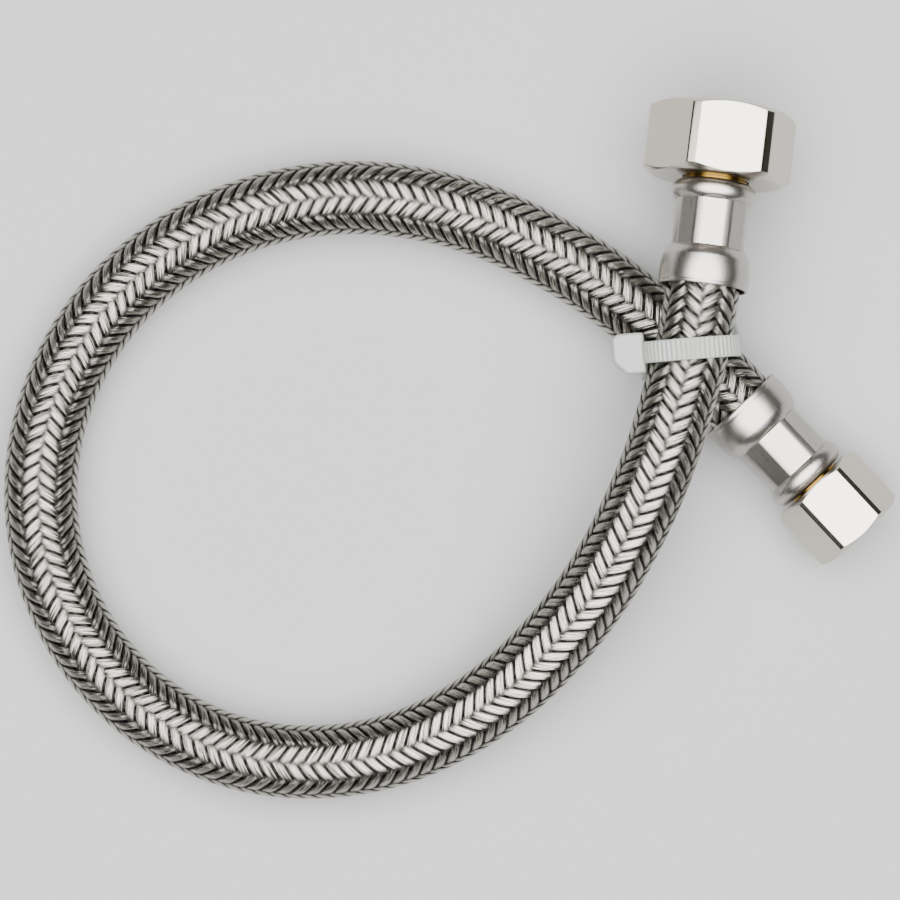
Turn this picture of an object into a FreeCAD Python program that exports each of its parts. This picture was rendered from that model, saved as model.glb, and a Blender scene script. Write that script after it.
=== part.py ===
import FreeCAD, Part
import math
import os

# Braided supply line: a rubber hose in a stainless steel braid, laid in one loop that crosses itself,
# held at the crossing by a cable tie. Each end has a crimped ferrule, a brass insert, a rubber seal
# and a swivel nut. Millimetres, +Z up, z = 0 is the surface that it lies on, and the origin is the
# middle of the footprint.

Vector = FreeCAD.Vector

# --- Hose ---
HOSE_OD = 14.0
BRAID_WALL = 0.7
LINER_WALL = 1.8

# The hose's route from the large ferrule's lip, over the crossing, round the loop, under the crossing
# and on to the small ferrule's lip.
ROUTE = [
    (47.2, 30.4, 21.7),
    (46.4, 23.9, 22.4),
    (43.1, 11.3, 23.3),
    (37.8, -6.2, 22.2),
    (26.5, -28.5, 17.6),
    (8.7, -47.7, 11.2),
    (-14.2, -58.8, 7.2),
    (-40.5, -58.5, 7.0),
    (-63.2, -45.4, 7.0),
    (-76.6, -22.8, 7.0),
    (-77.5, 3.1, 7.0),
    (-66.6, 26.5, 7.0),
    (-46.7, 42.4, 7.0),
    (-22.2, 48.9, 7.0),
    (2.7, 45.7, 7.0),
    (24.3, 35.1, 7.0),
    (39.8, 23.2, 8.0),
    (49.0, 15.1, 8.5),
    (54.8, 8.9, 8.5),
]
UPPER_RUN = 1
LOWER_RUN = 16
ARC_SHARE = 0.45

# --- Crimped ferrule. Lengths run from the lip, along the fitting's axis. ---
FERRULE_WALL = 0.5
LIP_GAP = 0.7
BELL_GAP = 0.95
COLLAR_GAP = 0.4
BELL_LENGTH = 5.4
SHOULDER_LENGTH = 2.0
SHOULDER_BULGE = 0.1
CRIMP_LENGTH = 8.7
CRIMP_SQUEEZE = 0.8
CRIMP_SIDES = 8
FLAT_SPAN = 32
COLLAR_RAMP = 1.1
COLLAR_LENGTH = 2.7
COLLAR_CREST = 1.1
COLLAR_ROLL = 1.3
DIE_TAPER = 1.9
DIE_FLARE = 1.3

# --- Brass insert ---
TAIL_START = 2.0
TAIL_CHAMFER = 0.4
TAIL_LEAD = 1.2
BARB_HEIGHT = 0.35
BARB_COUNT = 4
BARB_RAMP = 0.7
FLANGE_LENGTH = 0.65
GROOVE_DEPTH = 0.5
RIM_CLEARANCE = 0.05

# --- Swivel nuts and seals. The play is how far a nut slides each way on its insert, and the flat
# angle turns the nut about its own axis. ---
SWIVEL_CLEARANCE = 0.25
END_CLEARANCE = 0.1
HEAD_CLEARANCE = 0.17
SEAL_CLEARANCE = 0.2
CHAMFER_ANGLE = 30
CHAMFER_INSET = 0.3
MOUTH_CHAMFER = 0.7
CUT_OVERRUN = 1.0

LARGE = {
    "tail_wall": 1.2, "neck_step": 1.5, "head_length": 1.5, "play_out": 0.9, "play_in": 0.3,
    "nut_gap": 0.5, "nut_length": 13.4, "across_flats": 25.0, "corner_flat": 1.9, "flat_angle": 7.5,
    "back_wall": 2.3, "thread_minor_r": 9.5, "thread_depth": 0.97, "crimp_turn": 2.0,
    "seal_length": 1.8, "seal_bore_step": 1.7, "cone_length": 0.0, "cone_gap": 0.0, "cone_taper": 0.0,
}
SMALL = {
    "tail_wall": 1.7, "neck_step": 0.7, "head_length": 1.3, "play_out": 0.8, "play_in": 0.3,
    "nut_gap": 0.5, "nut_length": 13.0, "across_flats": 17.0, "corner_flat": 1.1, "flat_angle": 0.0,
    "back_wall": 2.2, "thread_minor_r": 6.57, "thread_depth": 0.57, "crimp_turn": -6.0,
    "seal_length": 1.2, "seal_bore_step": 0.2, "cone_length": 1.2, "cone_gap": 1.17, "cone_taper": 0.9,
}

# --- Cable tie ---
TIE_WIDTH = 3.6
TIE_THICKNESS = 1.1
TIE_TOP_ANGLE = 6
TIE_BOTTOM_ANGLE = 22
TIE_TOP_SPREAD = 1.15
TIE_BOTTOM_SPREAD = 1.8
TIE_GAP = 0.15
TIE_ARC_STEPS = 8
TIE_HEAD_DEPTH = 4.7
TIE_HEAD_WIDTH = 7.6
TIE_HEAD_HEIGHT = 6.0
TIE_HEAD_DROP = 1.2
TIE_HEAD_CHAMFER = 1.1

# --- Sizes that follow from the ones above ---
HOSE_R = HOSE_OD / 2
BRAID_INNER_R = HOSE_R - BRAID_WALL
TAIL_R = BRAID_INNER_R - LINER_WALL
LIP_R = HOSE_R + LIP_GAP + FERRULE_WALL
BELL_R = HOSE_R + BELL_GAP + FERRULE_WALL
COLLAR_R = HOSE_R + COLLAR_GAP + FERRULE_WALL
CRIMP_BORE_R = HOSE_R - CRIMP_SQUEEZE
CRIMP_FLAT_R = CRIMP_BORE_R + FERRULE_WALL
CRIMP_RIDGE_R = CRIMP_FLAT_R / math.cos(math.radians(FLAT_SPAN / 2))
CRIMP_START = BELL_LENGTH + SHOULDER_LENGTH
CRIMP_END = CRIMP_START + CRIMP_LENGTH
COLLAR_START = CRIMP_END + COLLAR_RAMP
FERRULE_LENGTH = COLLAR_START + COLLAR_LENGTH
HOSE_STOP = FERRULE_LENGTH - FERRULE_WALL - RIM_CLEARANCE - FLANGE_LENGTH


def fitting_sizes(spec):
    """A fitting's own sizes, with those that follow from the hose, the ferrule and the fits."""
    sizes = dict(spec)
    sizes["bore_r"] = TAIL_R - spec["tail_wall"]
    sizes["neck_r"] = TAIL_R + spec["neck_step"]
    sizes["groove_r"] = sizes["neck_r"] - GROOVE_DEPTH
    sizes["head_r"] = spec["thread_minor_r"] - HEAD_CLEARANCE
    sizes["relief_r"] = spec["thread_minor_r"] + spec["thread_depth"]
    sizes["nut_start"] = FERRULE_LENGTH + spec["nut_gap"]
    sizes["nut_end"] = sizes["nut_start"] + spec["nut_length"]
    sizes["shoulder"] = sizes["nut_start"] + spec["back_wall"]
    sizes["head_start"] = sizes["shoulder"] + spec["play_out"] + END_CLEARANCE
    sizes["head_end"] = sizes["head_start"] + spec["head_length"]
    sizes["seal_start"] = sizes["head_end"] + spec["play_in"] + END_CLEARANCE
    sizes["seal_end"] = sizes["seal_start"] + spec["seal_length"]
    sizes["thread_start"] = sizes["seal_end"] + spec["cone_length"] + END_CLEARANCE
    return sizes


def turned(outline):
    """Solid of revolution about Z. The outline lists (radius, length) points, and a pair of points
    is an arc's middle and end."""
    edges = []
    first = Vector(outline[0][0], 0, outline[0][1])
    here = first
    for step in outline[1:] + [outline[0]]:
        if isinstance(step[0], tuple):
            middle, end = [Vector(radius, 0, length) for radius, length in step]
            edges.append(Part.Arc(here, middle, end).toShape())
        else:
            end = Vector(step[0], 0, step[1])
            edges.append(Part.LineSegment(here, end).toShape())
        here = end
    face = Part.Face(Part.Wire(edges))
    return face.revolve(Vector(0, 0, 0), Vector(0, 0, 1), 360)


def prism(sides, flat_r, start, end, turn=0.0, end_flat_r=None):
    """Prism about Z with its first flat facing +X, or a taper when end_flat_r differs."""
    rings = []
    for length, radius in ((start, flat_r), (end, end_flat_r or flat_r)):
        corner_r = radius / math.cos(math.pi / sides)
        corners = []
        for k in range(sides + 1):
            angle = math.radians(turn) + math.pi * (2 * k + 1) / sides
            corners.append(Vector(corner_r * math.cos(angle), corner_r * math.sin(angle), length))
        rings.append(Part.makePolygon(corners))
    return Part.makeLoft(rings, True, True)


def route_path(points):
    """Straight runs joined by tangent arcs. Returns the wire and each arc's radius."""
    corners = [Vector(*point) for point in points]
    edges = []
    radii = []
    here = corners[0]
    for before, corner, after in zip(corners, corners[1:], corners[2:]):
        back = (before - corner).normalize()
        ahead = (after - corner).normalize()
        half_turn = (math.pi - back.getAngle(ahead)) / 2
        reach = ARC_SHARE * min((before - corner).Length, (after - corner).Length)
        radius = reach / math.tan(half_turn)
        middle = (back + ahead).normalize() * (radius / math.cos(half_turn) - radius)
        start = corner + back * reach
        end = corner + ahead * reach
        edges.append(Part.LineSegment(here, start).toShape())
        edges.append(Part.Arc(start, corner + middle, end).toShape())
        radii.append(radius)
        here = end
    edges.append(Part.LineSegment(here, corners[-1]).toShape())
    return Part.Wire(edges), radii


def swept_tube(wire, outer_r, inner_r):
    """Tube of the hose's free length, from lip to lip."""
    start = Vector(*ROUTE[0])
    along = Vector(*ROUTE[1]) - start
    rings = [Part.Wire(Part.makeCircle(radius, start, along)) for radius in (outer_r, inner_r)]
    solids = [wire.makePipeShell([ring], True, False) for ring in rings]
    tube = solids[0].cut(solids[1])
    expected = math.pi * (outer_r ** 2 - inner_r ** 2) * wire.Length
    print("tube radius %.2f: volume %.0f, section x length %.0f, length %.1f"
          % (outer_r, tube.Volume, expected, wire.Length))
    return tube


def fitting_placement(lip, inside):
    """Frame of a fitting: +Z out along its axis from the lip, +X as near to up as it can be."""
    out = (Vector(*lip) - Vector(*inside)).normalize()
    side = out.cross(Vector(0, 0, 1)).normalize()
    up = side.cross(out)
    return FreeCAD.Placement(Vector(*lip), FreeCAD.Rotation(up, side, out, "ZXY"))


def hose_end(outer_r, inner_r, crimped_outer_r, crimped_inner_r):
    """The stretch of one hose layer inside a ferrule: full size, squeezed by the crimp, full again."""
    return turned([
        (inner_r, 0), (outer_r, 0), (outer_r, BELL_LENGTH), (crimped_outer_r, CRIMP_START),
        (crimped_outer_r, CRIMP_END), (outer_r, COLLAR_START), (outer_r, HOSE_STOP),
        (inner_r, HOSE_STOP), (inner_r, COLLAR_START), (crimped_inner_r, CRIMP_END),
        (crimped_inner_r, CRIMP_START), (inner_r, BELL_LENGTH),
    ])


def make_ferrule(sizes):
    """Thin stainless shell: bell at the hose, eight crimped flats, and a collar rolled over the end."""
    rim_r = sizes["groove_r"] + RIM_CLEARANCE
    rim_start = FERRULE_LENGTH - FERRULE_WALL
    roll = 2 * FERRULE_WALL
    bell_bore = BELL_R - FERRULE_WALL
    collar_bore = COLLAR_R - FERRULE_WALL
    shoulder = ((LIP_R + CRIMP_RIDGE_R) / 2 + SHOULDER_BULGE,
                (BELL_LENGTH + CRIMP_START) / 2 + SHOULDER_BULGE)
    shell = turned([
        (rim_r, FERRULE_LENGTH), (rim_r, rim_start), (collar_bore - roll, rim_start),
        (collar_bore, rim_start - roll), (collar_bore, COLLAR_START), (CRIMP_BORE_R, CRIMP_END),
        (CRIMP_BORE_R, CRIMP_START), (bell_bore, BELL_LENGTH),
        ((bell_bore, BELL_LENGTH / 2), (LIP_R - FERRULE_WALL, 0)), (LIP_R, 0),
        ((BELL_R, BELL_LENGTH / 2), (LIP_R, BELL_LENGTH)),
        (shoulder, (CRIMP_RIDGE_R, CRIMP_START)), (CRIMP_RIDGE_R, CRIMP_END),
        ((COLLAR_R, COLLAR_START + COLLAR_CREST), (COLLAR_R - COLLAR_ROLL, FERRULE_LENGTH)),
    ])
    wide_r = CRIMP_FLAT_R + DIE_TAPER
    turn = sizes["crimp_turn"]
    dies_start = CRIMP_START - DIE_FLARE
    dies_end = CRIMP_END + DIE_FLARE
    dies = prism(CRIMP_SIDES, CRIMP_FLAT_R, CRIMP_START, CRIMP_END, turn)
    dies = dies.fuse(prism(CRIMP_SIDES, wide_r, dies_start, CRIMP_START, turn, CRIMP_FLAT_R))
    dies = dies.fuse(prism(CRIMP_SIDES, CRIMP_FLAT_R, CRIMP_END, dies_end, turn, wide_r))
    reach = Part.makeCylinder(2 * BELL_R, dies_end - dies_start, Vector(0, 0, dies_start))
    return shell.cut(reach.cut(dies))


def make_insert(sizes):
    """Turned brass: barbed tail, flange and groove for the ferrule's rim, neck, and a head in the nut."""
    bore_r = sizes["bore_r"]
    neck_r = sizes["neck_r"]
    groove_start = HOSE_STOP + FLANGE_LENGTH
    groove_end = FERRULE_LENGTH + RIM_CLEARANCE
    barb_pitch = (CRIMP_END - TAIL_START - TAIL_LEAD) / BARB_COUNT
    outline = [
        (bore_r, TAIL_START), (TAIL_R - TAIL_CHAMFER, TAIL_START), (TAIL_R, TAIL_START + TAIL_CHAMFER),
    ]
    for k in range(BARB_COUNT):
        barb = TAIL_START + TAIL_LEAD + k * barb_pitch
        crest = barb + BARB_RAMP * barb_pitch
        outline += [(TAIL_R, barb), (TAIL_R + BARB_HEIGHT, crest), (TAIL_R, crest)]
    outline += [
        (TAIL_R, HOSE_STOP), (neck_r, HOSE_STOP), (neck_r, groove_start),
        (sizes["groove_r"], groove_start), (sizes["groove_r"], groove_end), (neck_r, groove_end),
        (neck_r, sizes["head_start"]), (sizes["head_r"], sizes["head_start"]),
        (sizes["head_r"], sizes["head_end"]), (bore_r, sizes["head_end"]),
    ]
    return turned(outline)


def make_seal(sizes):
    """Rubber seal held in the nut's thread relief: a flat washer, or a cone on a flat base."""
    start = sizes["seal_start"]
    end = sizes["seal_end"]
    bore_r = sizes["bore_r"] + sizes["seal_bore_step"]
    outer_r = sizes["relief_r"] - SEAL_CLEARANCE
    outline = [(bore_r, start), (outer_r, start), (outer_r, end)]
    if sizes["cone_length"]:
        cone_r = sizes["thread_minor_r"] - sizes["cone_gap"]
        outline += [(cone_r, end)]
        end += sizes["cone_length"]
        outline += [(cone_r - sizes["cone_taper"], end)]
    outline += [(bore_r, end)]
    return turned(outline)


def make_nut(sizes):
    """Hexagon with flattened corners and chamfered ends, open at the back for the neck and threaded
    from the mouth to the relief that holds the seal. The thread is left at its minor radius."""
    start = sizes["nut_start"]
    end = sizes["nut_end"]
    turn = sizes["flat_angle"]
    flat_r = sizes["across_flats"] / 2
    corner_r = flat_r / math.cos(math.pi / 6)
    flattened_r = corner_r - sizes["corner_flat"] / (2 * math.tan(math.pi / 3))
    body = prism(6, flat_r, start, end, turn).common(prism(6, flattened_r, start, end, turn + 30))
    face_r = flat_r - CHAMFER_INSET
    slope = (corner_r - face_r) * math.tan(math.radians(CHAMFER_ANGLE))
    body = body.common(turned([
        (0, start), (face_r, start), (corner_r, start + slope),
        (corner_r, end - slope), (face_r, end), (0, end),
    ]))
    hole_r = sizes["neck_r"] + SWIVEL_CLEARANCE
    minor_r = sizes["thread_minor_r"]
    mouth_r = minor_r + MOUTH_CHAMFER
    hollow = turned([
        (0, start - CUT_OVERRUN), (hole_r, start - CUT_OVERRUN), (hole_r, sizes["shoulder"]),
        (sizes["relief_r"], sizes["shoulder"]), (sizes["relief_r"], sizes["thread_start"]),
        (minor_r, sizes["thread_start"]), (minor_r, end - MOUTH_CHAMFER), (mouth_r, end),
        (mouth_r, end + CUT_OVERRUN), (0, end + CUT_OVERRUN),
    ])
    return body.cut(hollow)


def crossing():
    """Where the upper run passes over the lower one: its place in plan and the two heights."""
    upper = [Vector(*point) for point in ROUTE[UPPER_RUN:UPPER_RUN + 2]]
    lower = [Vector(*point) for point in ROUTE[LOWER_RUN:LOWER_RUN + 2]]
    along = upper[1] - upper[0]
    across = lower[1] - lower[0]
    gap = lower[0] - upper[0]
    share = (gap.x * across.y - gap.y * across.x) / (along.x * across.y - along.y * across.x)
    over = upper[0] + along * share
    reach = (over.x - lower[0].x) / across.x
    return over, lower[0].z + across.z * reach


def tie_sections(over, under_z):
    """Rectangles round the loop of strap, which turns a little between the two strands."""
    rise = HOSE_R + TIE_GAP
    spans = ((over.z, HOSE_R + TIE_TOP_SPREAD, 0), (under_z, HOSE_R + TIE_BOTTOM_SPREAD, 180))
    sections = []
    for centre_z, spread, first in spans:
        for k in range(TIE_ARC_STEPS + 1):
            angle = math.radians(first + 180 * k / TIE_ARC_STEPS)
            inner = (spread * math.cos(angle), centre_z + rise * math.sin(angle))
            normal = Vector(math.cos(angle) / spread, math.sin(angle) / rise, 0).normalize()
            outer = (inner[0] + normal.x * TIE_THICKNESS, inner[1] + normal.y * TIE_THICKNESS)
            corners = []
            for (spot, height), half in ((inner, -1), (outer, -1), (outer, 1), (inner, 1)):
                share = min(max((height - under_z) / (over.z - under_z), 0), 1)
                plan = math.radians(TIE_BOTTOM_ANGLE + (TIE_TOP_ANGLE - TIE_BOTTOM_ANGLE) * share)
                edge = half * TIE_WIDTH / 2
                corners.append(Vector(over.x + spot * math.cos(plan) - edge * math.sin(plan),
                                      over.y + spot * math.sin(plan) + edge * math.cos(plan), height))
            sections.append(corners)
    return sections


def make_tie():
    """One nylon moulding: the strap's closed loop and its head, with the tail cut off flush."""
    over, under_z = crossing()
    sections = tie_sections(over, under_z)
    wires = [Part.makePolygon(corners + corners[:1]) for corners in sections]
    half = len(wires) // 2
    strap = Part.makeLoft(wires[:half + 1], True, True)
    strap = strap.fuse(Part.makeLoft(wires[half:] + wires[:1], True, True))
    inner_face = HOSE_R + TIE_TOP_SPREAD + TIE_THICKNESS / 2
    outer_face = inner_face + TIE_THICKNESS / 2 + TIE_HEAD_DEPTH
    half_width = TIE_HEAD_WIDTH / 2
    outline = [
        (-inner_face, -half_width), (-inner_face, half_width), (-outer_face + TIE_HEAD_CHAMFER, half_width),
        (-outer_face, half_width - TIE_HEAD_CHAMFER), (-outer_face, TIE_HEAD_CHAMFER - half_width),
        (TIE_HEAD_CHAMFER - outer_face, -half_width),
    ]
    foot = over.z - TIE_HEAD_DROP - TIE_HEAD_HEIGHT / 2
    wire = Part.makePolygon([Vector(x, y, foot) for x, y in outline + outline[:1]])
    head = Part.Face(wire).extrude(Vector(0, 0, TIE_HEAD_HEIGHT))
    head.rotate(Vector(0, 0, 0), Vector(0, 0, 1), TIE_TOP_ANGLE)
    head.translate(Vector(over.x, over.y, 0))
    return strap.fuse(head).removeSplitter()


def main():
    large_end = fitting_placement(ROUTE[0], ROUTE[1])
    small_end = fitting_placement(ROUTE[-1], ROUTE[-2])
    nodes = {}
    for name, spec, placement in (("large", LARGE, large_end), ("small", SMALL, small_end)):
        sizes = fitting_sizes(spec)
        pieces = {
            "ferrule": make_ferrule(sizes),
            "insert": make_insert(sizes),
            "seal": make_seal(sizes),
            "nut": make_nut(sizes),
        }
        for piece, shape in pieces.items():
            shape.Placement = placement.multiply(shape.Placement)
            nodes[name + "_" + piece] = shape

    wire, radii = route_path(ROUTE)
    print("arc radii: " + ", ".join("%.0f" % radius for radius in radii))
    braid = swept_tube(wire, HOSE_R, BRAID_INNER_R)
    liner = swept_tube(wire, BRAID_INNER_R, TAIL_R)
    squeezed_r = CRIMP_BORE_R - BRAID_WALL
    for placement, name in ((large_end, "large"), (small_end, "small")):
        braid_end = hose_end(HOSE_R, BRAID_INNER_R, CRIMP_BORE_R, squeezed_r)
        braid_end.Placement = placement
        braid = braid.fuse(braid_end)
        liner_end = hose_end(BRAID_INNER_R, TAIL_R, squeezed_r, TAIL_R)
        liner_end.Placement = placement
        liner = liner.fuse(liner_end).cut(nodes[name + "_insert"])
    nodes["braid_sleeve"] = braid.removeSplitter()
    nodes["inner_tube"] = liner.removeSplitter()
    nodes["cable_tie"] = make_tie()

    os.makedirs("parts", exist_ok=True)
    for name, shape in nodes.items():
        if shape.ShapeType != "Solid" and len(shape.Solids) == 1:
            shape = shape.Solids[0]
        box = shape.BoundBox
        print("%-14s valid %s solids %d volume %.1f x %.2f..%.2f y %.2f..%.2f z %.2f..%.2f"
              % (name, shape.isValid(), len(shape.Solids), shape.Volume,
                 box.XMin, box.XMax, box.YMin, box.YMax, box.ZMin, box.ZMax))
        shape.exportStep("parts/" + name + ".step")


main()
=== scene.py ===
import math

import bpy
import numpy as np
from bpy.props import FloatProperty, FloatVectorProperty, IntProperty, PointerProperty
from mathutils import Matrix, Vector


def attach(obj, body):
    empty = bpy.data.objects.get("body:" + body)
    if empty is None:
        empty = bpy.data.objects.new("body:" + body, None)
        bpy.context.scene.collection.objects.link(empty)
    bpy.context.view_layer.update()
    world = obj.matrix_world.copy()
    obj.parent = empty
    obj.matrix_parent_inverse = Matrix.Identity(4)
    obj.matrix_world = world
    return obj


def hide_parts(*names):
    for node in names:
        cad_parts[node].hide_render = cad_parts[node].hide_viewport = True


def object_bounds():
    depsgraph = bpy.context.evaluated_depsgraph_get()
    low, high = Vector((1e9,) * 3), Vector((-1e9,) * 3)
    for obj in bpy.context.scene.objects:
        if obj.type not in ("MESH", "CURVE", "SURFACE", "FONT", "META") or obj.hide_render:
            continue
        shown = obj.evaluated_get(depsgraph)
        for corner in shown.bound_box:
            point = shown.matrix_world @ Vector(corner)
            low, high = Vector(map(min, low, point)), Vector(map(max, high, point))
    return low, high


bl_info = {
    "name": "Braided supply line",
    "version": (1, 0, 0),
    "blender": (4, 5, 0),
    "location": "3D View > Sidebar > Supply Line",
    "description": "Builds a braided water supply line around its packed frame",
    "category": "Object",
}

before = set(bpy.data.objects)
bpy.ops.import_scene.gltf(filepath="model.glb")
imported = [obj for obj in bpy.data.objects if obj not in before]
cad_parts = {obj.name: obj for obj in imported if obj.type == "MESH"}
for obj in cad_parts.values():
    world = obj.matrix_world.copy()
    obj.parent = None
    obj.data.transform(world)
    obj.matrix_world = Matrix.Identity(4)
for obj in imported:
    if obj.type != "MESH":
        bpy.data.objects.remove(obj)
CAD_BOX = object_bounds()

MM = 0.001
VECTOR = "ShaderNodeVectorMath"
NOISE = "ShaderNodeTexNoise"
ATTRIBUTE = "ShaderNodeAttribute"
MAP_RANGE = "ShaderNodeMapRange"

# Each kind of sum, as its node's name and its operation.
(ABSOLUTE, ADD, COSINE, DIVIDE, GREATER_THAN, LESS_THAN, MODULO, MULTIPLY, MULTIPLY_ADD, POWER,
 SIGN, SINE, SQRT, SUBTRACT, TANH) = (
    ("ShaderNodeMath", operation) for operation in (
        "ABSOLUTE ADD COSINE DIVIDE GREATER_THAN LESS_THAN MODULO MULTIPLY MULTIPLY_ADD POWER "
        "SIGN SINE SQRT SUBTRACT TANH").split())

# The hose's route from the large ferrule's lip, over the crossing, round the loop, under the crossing
# and on to the small ferrule's lip.
ROUTE = [
    (0.0472, 0.0304, 0.0217),
    (0.0464, 0.0239, 0.0224),
    (0.0431, 0.0113, 0.0233),
    (0.0378, -0.0062, 0.0222),
    (0.0265, -0.0285, 0.0176),
    (0.0087, -0.0477, 0.0112),
    (-0.0142, -0.0588, 0.0072),
    (-0.0405, -0.0585, 0.0070),
    (-0.0632, -0.0454, 0.0070),
    (-0.0766, -0.0228, 0.0070),
    (-0.0775, 0.0031, 0.0070),
    (-0.0666, 0.0265, 0.0070),
    (-0.0467, 0.0424, 0.0070),
    (-0.0222, 0.0489, 0.0070),
    (0.0027, 0.0457, 0.0070),
    (0.0243, 0.0351, 0.0070),
    (0.0398, 0.0232, 0.0080),
    (0.0490, 0.0151, 0.0085),
    (0.0548, 0.0089, 0.0085),
]
UPPER_RUN = 1
LOWER_RUN = 16
ROUTE_RESOLUTION = 24

SHARP_EDGE = math.radians(35)
MOUTH_CHAMFER = 0.7 * MM
ROUND_STEPS = 96
FERRULE_STEPS = 320
BRAID_RINGS = 800
STRAP_RINGS = 900
STRAP_CORNERS = 32
PLAITS_IN_A_PIECE = 4
THREAD_STEPS_PER_TURN = 14
HALF_LOOP_STEPS = 48


def length(name, description, millimetres):
    """A size that a user can change, given here in millimetres."""
    return FloatProperty(name=name, description=description, default=millimetres * MM,
                         unit="LENGTH", precision=5)


def angle(name, description, degrees):
    return FloatProperty(name=name, description=description, default=math.radians(degrees),
                         subtype="ANGLE")


def linear(code):
    """An sRGB hex colour as linear red, green and blue."""
    values = [int(code[k:k + 2], 16) / 255 for k in (1, 3, 5)]
    return tuple(v / 12.92 if v <= 0.04045 else ((v + 0.055) / 1.055) ** 2.4 for v in values)


def colour(name, description, code):
    return FloatVectorProperty(name=name, description=description, default=linear(code),
                               subtype="COLOR", size=3, min=0, max=1)


class HoseSizes(bpy.types.PropertyGroup):
    """Sizes of the hose and of its woven wire sleeve."""
    outside: length("Outside diameter", "Across the braid", 14.0)
    liner: length("Liner diameter", "Outside of the rubber under the braid", 12.5)
    plaits: IntProperty(name="Plaits each way", description="Plaits that turn one way round", default=12)
    wires: IntProperty(name="Wires in a plait", description="Wires laid side by side", default=7)
    wire: length("Wire diameter", "Diameter of one wire", 0.27)
    lead: length("Lead", "Length of hose for one full turn of a plait", 30.4)
    lift: length("Lift", "How far a plait rises and dips from the middle of the braid", 0.11)
    crown: length("Crown", "How far a plait's edges drop below its middle", 0.24)
    jitter: length("Unevenness", "How far wires stand out of line", 0.06)
    overrun: length("Overrun", "Hose that runs on inside each ferrule's bell", 5.5)
    phase: angle("Phase", "Turn of the whole weave about the hose", -22.5)


# Each fitting's sizes, with the larger fitting's value and then the smaller's.
FITTING_SIZES = (
    (length, "across_flats", "Across flats", "Spanner size of the nut", 25.0, 17.0),
    (length, "nut_length", "Nut length", "Along the nut's axis", 13.4, 13.0),
    (length, "corner_flat", "Corner flat", "Width of the flat on each corner", 1.9, 1.1),
    (angle, "flat_angle", "Nut turn", "Turn of the nut's first flat from straight up", 7.5, 0.0),
    (length, "back_wall", "Back wall", "Wall that the insert's head pulls on", 2.3, 2.2),
    (length, "minor_r", "Thread minor radius", "To the thread's crests", 9.5, 6.57),
    (length, "thread_depth", "Thread depth", "Crest to root", 0.97, 0.57),
    (length, "thread_pitch", "Thread pitch", "Crest to crest", 1.814, 1.058),
    (length, "nut_gap", "Nut gap", "Between the ferrule and the nut", 0.5, 0.5),
    (length, "neck_r", "Neck radius", "Insert where the nut turns on it", 6.0, 5.2),
    (length, "bore_r", "Bore radius", "Water way through the insert", 3.3, 2.8),
    (length, "head_length", "Head length", "Insert's head inside the nut", 1.5, 1.3),
    (length, "play_out", "Play outwards", "Nut's slide away from the hose", 0.9, 0.8),
    (length, "play_in", "Play inwards", "Nut's slide towards the hose", 0.3, 0.3),
    (length, "seal_length", "Seal length", "Flat part of the seal", 1.8, 1.2),
    (length, "seal_bore_r", "Seal bore radius", "Hole in the seal", 5.0, 3.0),
    (length, "cone_length", "Cone length", "Cone on the seal, or nothing", 0.0, 1.2),
    (length, "cone_r", "Cone radius", "Cone at its wide end", 0.0, 5.4),
    (length, "cone_taper", "Cone taper", "How much narrower the cone's tip is", 0.0, 0.9),
    (angle, "crimp_turn", "Crimp turn", "Turn of the ferrule's first flat from up", 2.0, -6.0),
)


def fitting_props(which):
    """The sizes of one fitting. Both have the same list and their own values."""
    return {name: kind(label, about, values[which])
            for kind, name, label, about, *values in FITTING_SIZES}


class LargeFitting(bpy.types.PropertyGroup):
    """Sizes of the fitting with the larger nut."""
    __annotations__ = fitting_props(0)


class SmallFitting(bpy.types.PropertyGroup):
    """Sizes of the fitting with the smaller nut."""
    __annotations__ = fitting_props(1)


class FerruleSizes(bpy.types.PropertyGroup):
    """Sizes that both ferrules share. Lengths run from the lip, along the fitting's axis."""
    wall: length("Wall", "Thickness of the pressed shell", 0.5)
    lip_r: length("Lip radius", "Outside of the open end", 8.2)
    bell_r: length("Bell radius", "Widest part of the bell", 8.45)
    bell_end: length("Bell length", "From the lip to the shoulder", 5.4)
    flat_r: length("Crimp flat radius", "From the axis to a pressed flat", 6.7)
    ridge_r: length("Crimp ridge radius", "From the axis to the rounds between flats", 6.97)
    crimp_start: length("Crimp start", "Where the pressed flats begin", 7.4)
    crimp_end: length("Crimp end", "Where the pressed flats end", 16.1)
    collar_r: length("Collar radius", "Widest part of the collar", 7.9)
    collar_crest: length("Collar crest", "Where the collar is widest", 18.3)
    full: length("Ferrule length", "From the lip to the rolled end", 19.9)
    flare: length("Die flare", "Length of the sloped end of each flat", 1.3)
    taper: length("Die taper", "Rise of the sloped end of each flat", 1.9)
    flats: IntProperty(name="Flats", description="Flats round the crimp", default=8)


class TieSizes(bpy.types.PropertyGroup):
    """Sizes of the cable tie."""
    width: length("Strap width", "Across the strap", 4.0)
    thickness: length("Strap thickness", "Through the strap and its ribs", 1.1)
    rib: length("Rib height", "How far the ribs stand out", 0.22)
    rib_pitch: length("Rib pitch", "From one rib to the next", 0.92)
    gap: length("Gap", "Between the strap and the hose above and below it", 0.15)
    top_spread: length("Top spread", "Between the strap and the upper strand's sides", 1.15)
    bottom_spread: length("Bottom spread", "Between the strap and the lower strand's sides", 2.2)
    top_angle: angle("Top angle", "Slant of the strap over the upper strand", 4.5)
    bottom_angle: angle("Bottom angle", "Slant of the strap under the lower strand", 22)
    shift: length("Shift", "Along the upper strand, from the crossing", 0.4)
    head_depth: length("Head depth", "Out from the hose", 5.4)
    head_width: length("Head width", "Along the hose", 7.6)
    head_height: length("Head height", "From its foot to its top", 6.0)
    head_drop: length("Head drop", "Head's middle below the strand's middle", 1.2)


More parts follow.
